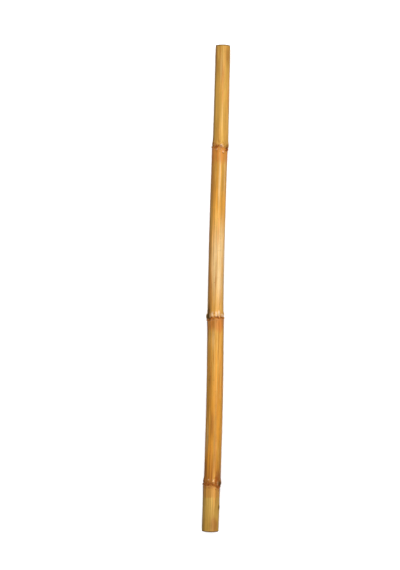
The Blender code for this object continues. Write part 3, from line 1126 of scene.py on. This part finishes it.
even = 1 - sum(GRAIN_CONTRAST.values()) / 2
grain = weighted_sum(tree, even, *((noises[name], weight) for name, weight in GRAIN_CONTRAST.items()))
fleck = map_range(tree, noises["fleck"], FLECK_START, FLECK_END, high=FLECK_DARKNESS)
grain = add_node(tree, "Math", {0: grain, 1: fleck}, operation="SUBTRACT")
inputs = {0: 1.0, 6: colour, 7: grain}
grained = add_node(tree, "Mix", inputs, 2, data_type="RGBA", blend_type="MULTIPLY")

broken = shares["rust"]
for name in ("stub", "cut_edge", "dot"):
    broken = add_node(tree, "Math", {0: broken, 1: shares[name]}, operation="MAXIMUM")
roughness = map_range(tree, broken, low=SKIN_ROUGHNESS, high=SCAR_ROUGHNESS)

fill_inputs(tree, skin_shader, {
    "Base Color": grained,
    "Roughness": weighted_sum(tree, roughness, (noises["streak"], GLOSS_CONTRAST)),
    "IOR": SKIN_IOR,
    "Specular Tint": linear(GLOSS_TINT),
    "Coat Weight": map_range(tree, broken, low=COAT_SHARE, high=0.0),
    "Coat Roughness": COAT_ROUGHNESS,
    "Normal": bumps(tree, (noises["fibre"], FIBRE_BUMP_MM), (noises["mottle"], MOTTLE_BUMP_MM)),
})
culm_mesh.materials.append(skin_material)
print("skin finished with", len(tree.nodes), "nodes")

# %% [markdown]
# The sawn ends
#
# A cut across bamboo shows its build: pale soft tissue full of dark dots, each a bundle of fibres and
# vessels. A Voronoi pattern gives the dots, which grow towards the skin until they almost touch. The
# wood is matt from the saw, with fine parallel scratches, open pores and some dirt. A layer's row has
# the pattern, where its share starts and ends, the most that it covers, and the colour.

# %% Finish the sawn ends
SAWN_STRAW = "#ecd09c"
BUNDLE_SPACING_MM = 0.85
BUNDLE_SCATTER = 0.75
BUNDLE_OUTER = 0.46
BUNDLE_INNER = 0.24
BUNDLE_BUMP_MM = 0.06
SAW_LINE_MM = 0.45
SAW_LINE_WAVER = 2.0
SAW_LINE_BUMP_MM = 0.03
PORE_BUMP_MM = 0.08
SAWN_ROUGHNESS = 0.72
SAWN_NOISES = {"pore": (0.35, 0.35), "dirt": (3.5, 3.5)}
SAWN_LAYERS = (
    ("dirt", 0.35, 0.75, 1, "#c09a64"),
    ("bundle", -0.04, 0.12, 1, "#6d4a22"),
    ("wall", 0.09, 0, 1, "#5a3f1a"),
)

sawn_material, tree, sawn_shader = new_material("sawn_bamboo_end")
patterns = pattern_noises(tree, SAWN_NOISES)
place = stored(tree, "straight", "Vector")
patterns["wall"] = stored(tree, "depth")
cells = {"Vector": place, "Scale": 1 / BUNDLE_SPACING_MM, "Randomness": BUNDLE_SCATTER}
cells = add_node(tree, "TexVoronoi", cells, "Distance")
reach = map_range(tree, patterns["wall"], low=BUNDLE_OUTER, high=BUNDLE_INNER)
patterns["bundle"] = add_node(tree, "Math", {0: reach, 1: cells}, operation="SUBTRACT")
colour = linear(SAWN_STRAW)
for name, *layer in SAWN_LAYERS:
    colour, shares[name] = lay_over(tree, colour, patterns[name], *layer)

lines = {"Vector": place, "Scale": 1 / (2 * math.pi * SAW_LINE_MM), "Distortion": SAW_LINE_WAVER}
lines = add_node(tree, "TexWave", lines, "Fac")
heights = ((shares["bundle"], BUNDLE_BUMP_MM), (lines, SAW_LINE_BUMP_MM))
relief = bumps(tree, *heights, (patterns["pore"], PORE_BUMP_MM))
fill_inputs(tree, sawn_shader, {"Base Color": colour, "Roughness": SAWN_ROUGHNESS, "Normal": relief})
culm_mesh.materials.append(sawn_material)
print("sawn ends finished with", len(tree.nodes), "nodes")

# %% [markdown]
# The lining
#
# The hollow is lined with the dry remains of the pith: a papery film, off-white to tan, quite matt,
# with long wrinkles and brown stains. It is browner on the diaphragm.

# %% Finish the lining
PITH = "#d8c096"
LINING_NOISES = {"wrinkle": (1.2, 14), "stain": (5, 16), "flake": (1.1, 1.8)}
LINING_LAYERS = (
    ("depth", 1.9, 2.1, 0.7, "#a67c4a"),
    ("stain", 0.42, 0.7, 0.8, "#94693a"),
    ("wrinkle", 0.5, 0.72, 0.5, "#94693a"),
)
LINING_BUMPS_MM = {"wrinkle": 0.35, "flake": 0.2}
LINING_ROUGHNESS = 0.85

lining_material, tree, lining_shader = new_material("pith_lining")
patterns = pattern_noises(tree, LINING_NOISES)
patterns["depth"] = stored(tree, "depth")
colour = linear(PITH)
for name, *layer in LINING_LAYERS:
    colour, _ = lay_over(tree, colour, patterns[name], *layer)
relief = bumps(tree, *((patterns[name], tall) for name, tall in LINING_BUMPS_MM.items()))
finish = {"Base Color": colour, "Roughness": LINING_ROUGHNESS, "Normal": relief}
fill_inputs(tree, lining_shader, finish)
culm_mesh.materials.append(lining_material)
print("lining finished with", len(tree.nodes), "nodes")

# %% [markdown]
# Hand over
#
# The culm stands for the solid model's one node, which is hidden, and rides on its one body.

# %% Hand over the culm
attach(culm, "root")
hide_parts("bamboo_cane")
